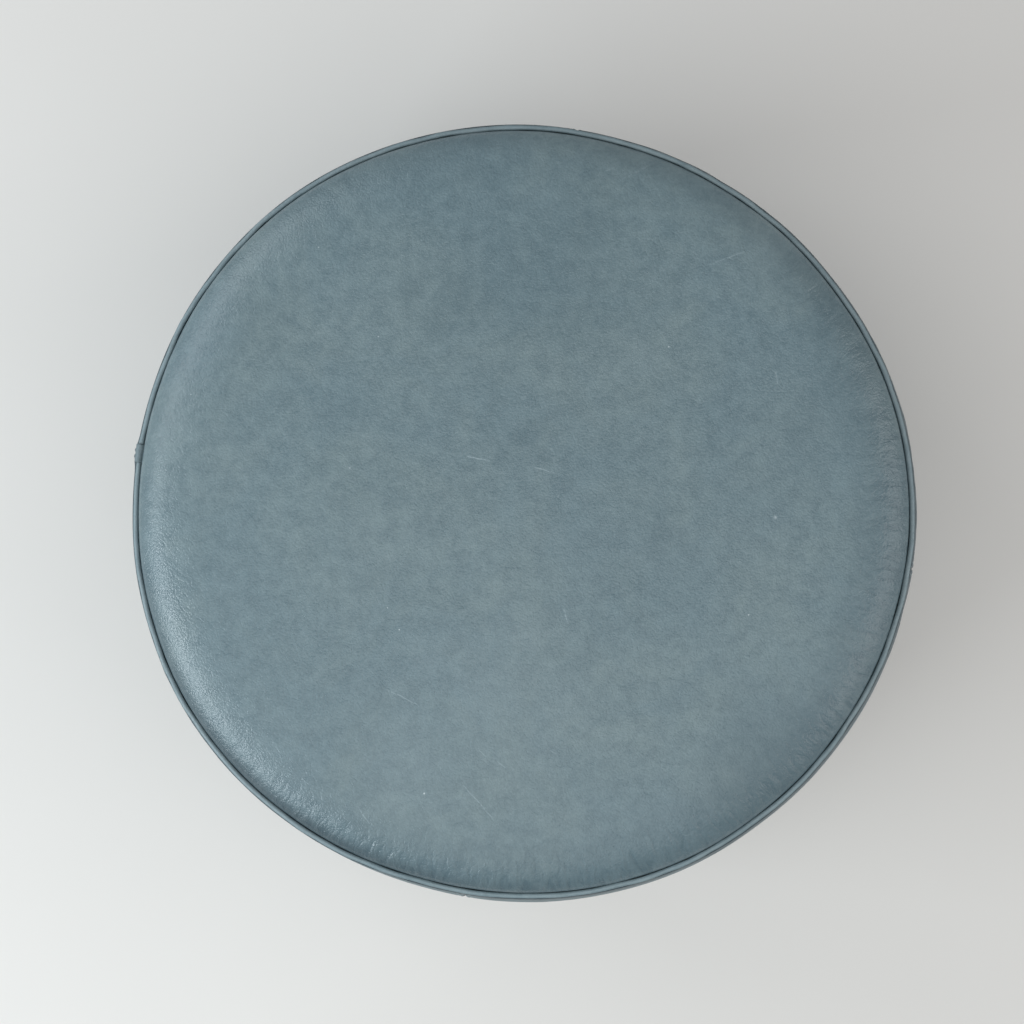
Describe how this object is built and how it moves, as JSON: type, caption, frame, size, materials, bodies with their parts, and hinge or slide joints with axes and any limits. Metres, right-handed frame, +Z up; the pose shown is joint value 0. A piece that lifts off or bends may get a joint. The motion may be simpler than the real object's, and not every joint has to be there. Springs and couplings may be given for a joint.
{
  "type": "leather pouf",
  "caption": "Round upright leather pouf with a smooth one-piece top, piped rims, seamed bulging side panels and a zipped base; a firm floor seat or footrest.",
  "frame": {"origin": "centre of the pouf on the floor it stands on", "axes": "+Z up along the pouf's centre line; the base zip runs along X with its closed end at +X; the piping ends meet on the -X side, which is the left of the view from above"},
  "size_m": [0.4838, 0.4838, 0.3],
  "materials": {
    "top_leather": "grey-blue leather, satin, lightly worn and scuffed",
    "side_leather": "grey-blue leather, satin",
    "base_leather": "grey-blue leather, matte, less polished than the top",
    "piping_leather": "grey-blue leather, rubbed paler along the crown",
    "piping_cord": "twisted cotton cord",
    "thread": "waxed grey-blue thread",
    "seam_tape": "plain woven cotton tape",
    "zip_tape": "woven polyester tape",
    "zip_metal": "dulled antique brass",
    "bag_cloth": "unbleached calico",
    "wadding": "soft fibre wadding",
    "foam": "cut upholstery foam"
  },
  "bodies": {
    "pouf": {"top_panel": "top_leather", "top_piping_cover": "piping_leather", "top_piping_cord": "piping_cord", "top_piping_sleeve": "piping_leather", "side_panel_front_left": "side_leather", "side_panel_front_right": "side_leather", "side_panel_back_right": "side_leather", "side_panel_back_left": "side_leather", "side_seam_tape_1": "seam_tape", "side_seam_tape_2": "seam_tape", "side_seam_tape_3": "seam_tape", "side_seam_tape_4": "seam_tape", "side_stitching": "thread", "base_panel_front": "base_leather", "base_panel_back": "base_leather", "bottom_piping_cover": "piping_leather", "bottom_piping_cord": "piping_cord", "bottom_piping_sleeve": "piping_leather", "zip_tape_front": "zip_tape", "zip_tape_back": "zip_tape", "zip_teeth_front": "zip_metal", "zip_teeth_back": "zip_metal", "zip_top_stops": "zip_metal", "zip_bottom_stop": "zip_metal", "zip_stitching": "thread", "liner_top": "bag_cloth", "liner_side": "bag_cloth", "liner_base": "bag_cloth", "top_wadding": "wadding", "side_wadding": "wadding", "foam_topper": "foam", "foam_core": "foam", "foam_base": "foam"},
    "slider": {"zip_slider": "zip_metal"},
    "pull": {"zip_pull": "zip_metal"}
  },
  "joints": [
    {"name": "zip_slide", "type": "slide", "parent": "pouf", "child": "slider", "axis": [-1, 0, 0], "range_m": [0, 0.287], "deforming": ["zip_teeth_front", "zip_teeth_back"]},
    {"name": "pull_hinge", "type": "hinge", "parent": "slider", "child": "pull", "pos_m": [0.1465, 0, 0.0023], "axis": [0, -1, 0], "range_deg": [0, 175]}
  ]
}
